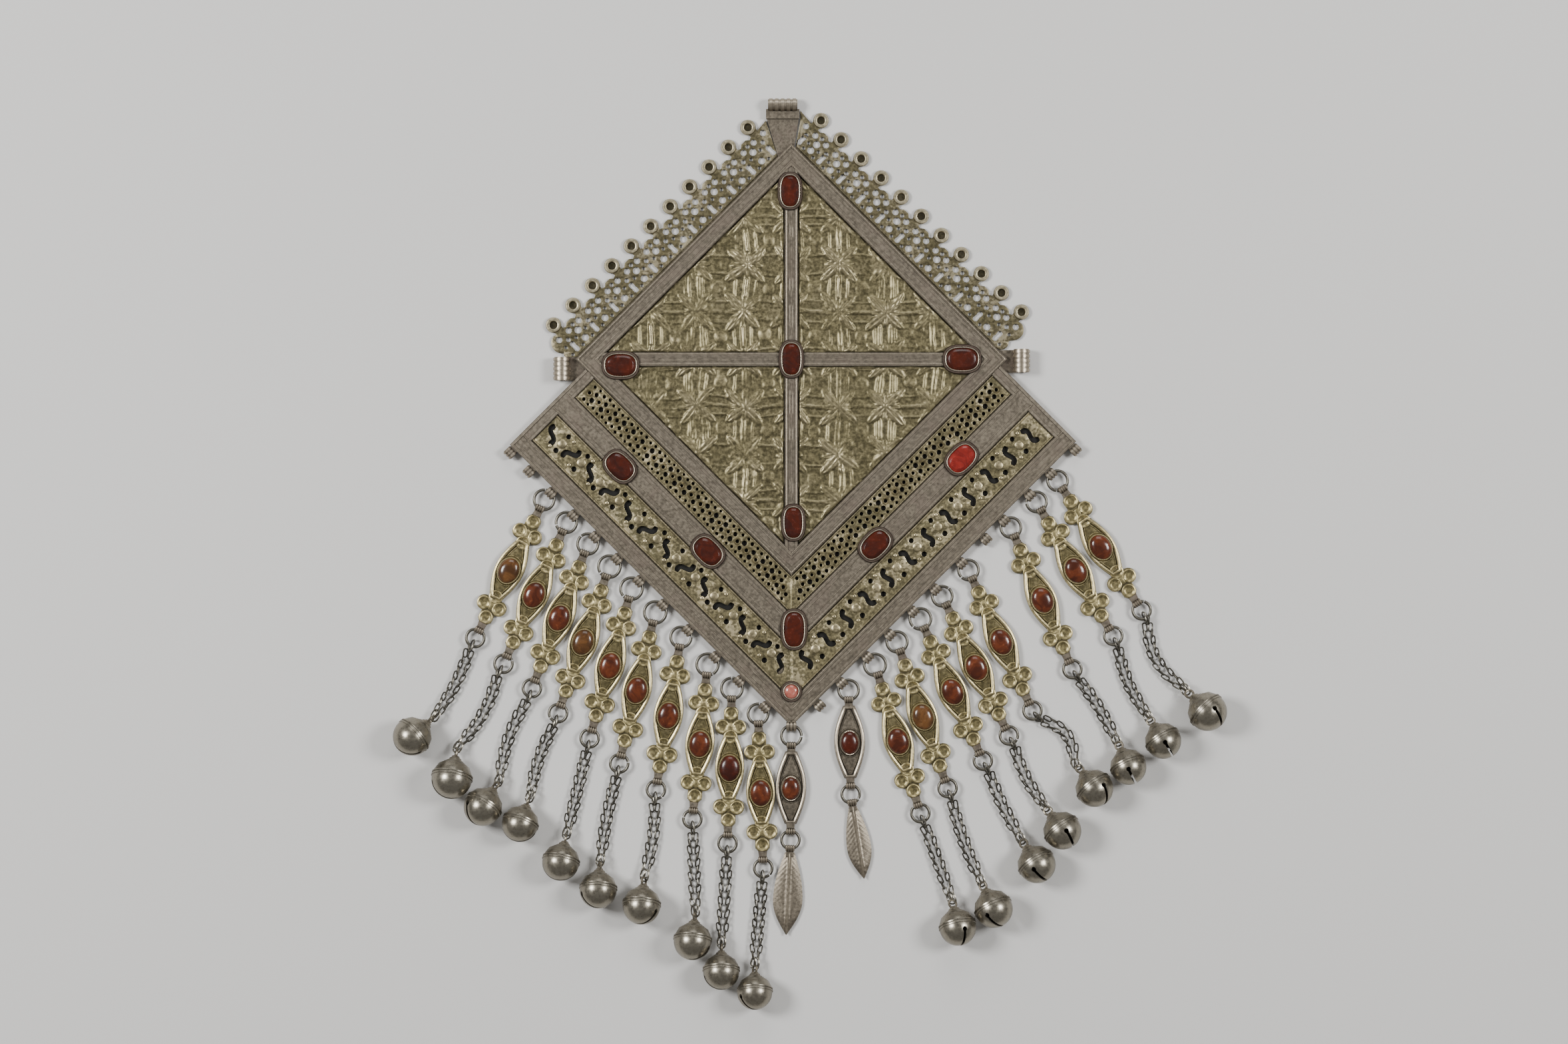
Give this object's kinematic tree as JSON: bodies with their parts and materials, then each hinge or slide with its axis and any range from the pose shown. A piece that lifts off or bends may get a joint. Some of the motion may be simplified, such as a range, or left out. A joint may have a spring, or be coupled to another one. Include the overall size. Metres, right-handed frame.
{
  "type": "turkmen chest ornament",
  "caption": "Square silver and gilt chest ornament set on its corner, with carnelians, pierced borders, hanging tubes and a fringe of jewelled pendants, chains and round bells.",
  "frame": {"origin": "centre of the square field, on the flat back of the base sheet", "axes": "+Y towards the top hanging tube, +Z out of the decorated front, +X to the viewer's right"},
  "size_m": [0.3117, 0.3411, 0.0155],
  "materials": {
    "silver": "satin",
    "dark_silver": "satin",
    "gilt": "satin",
    "worn_gilt": "satin",
    "carnelian": "gloss",
    "cabochon": "gloss"
  },
  "bodies": {
    "root": {"frame": "silver", "panel_top_left": "gilt", "panel_top_right": "gilt", "panel_bottom_left": "gilt", "panel_bottom_right": "gilt", "lace_left": "worn_gilt", "lace_right": "worn_gilt", "scroll_left": "gilt", "scroll_right": "gilt", "crest_left": "worn_gilt", "crest_right": "worn_gilt", "stone_1": "carnelian", "stone_2": "carnelian", "stone_3": "carnelian", "stone_4": "carnelian", "stone_5": "carnelian", "stone_6": "carnelian", "stone_7": "carnelian", "stone_8": "carnelian", "stone_9": "carnelian", "stone_10": "carnelian", "stone_11": "carnelian", "pendant_1": "gilt", "pendant_2": "gilt", "pendant_3": "gilt", "pendant_4": "gilt", "pendant_5": "gilt", "pendant_6": "gilt", "pendant_7": "gilt", "pendant_8": "gilt", "pendant_9": "gilt", "pendant_10": "gilt", "pendant_11": "silver", "pendant_12": "silver", "pendant_13": "gilt", "pendant_14": "gilt", "pendant_15": "gilt", "pendant_16": "gilt", "pendant_17": "gilt", "pendant_18": "gilt", "pendant_19": "gilt", "pendant_20": "gilt", "pendant_stones_left": "cabochon", "pendant_stones_right": "cabochon", "rings_upper": "dark_silver", "rings_lower": "dark_silver", "chains_left": "dark_silver", "chains_right": "dark_silver", "bells_left": "dark_silver", "bells_right": "dark_silver", "leaf_1": "silver", "leaf_2": "silver"}
  },
  "joints": []
}
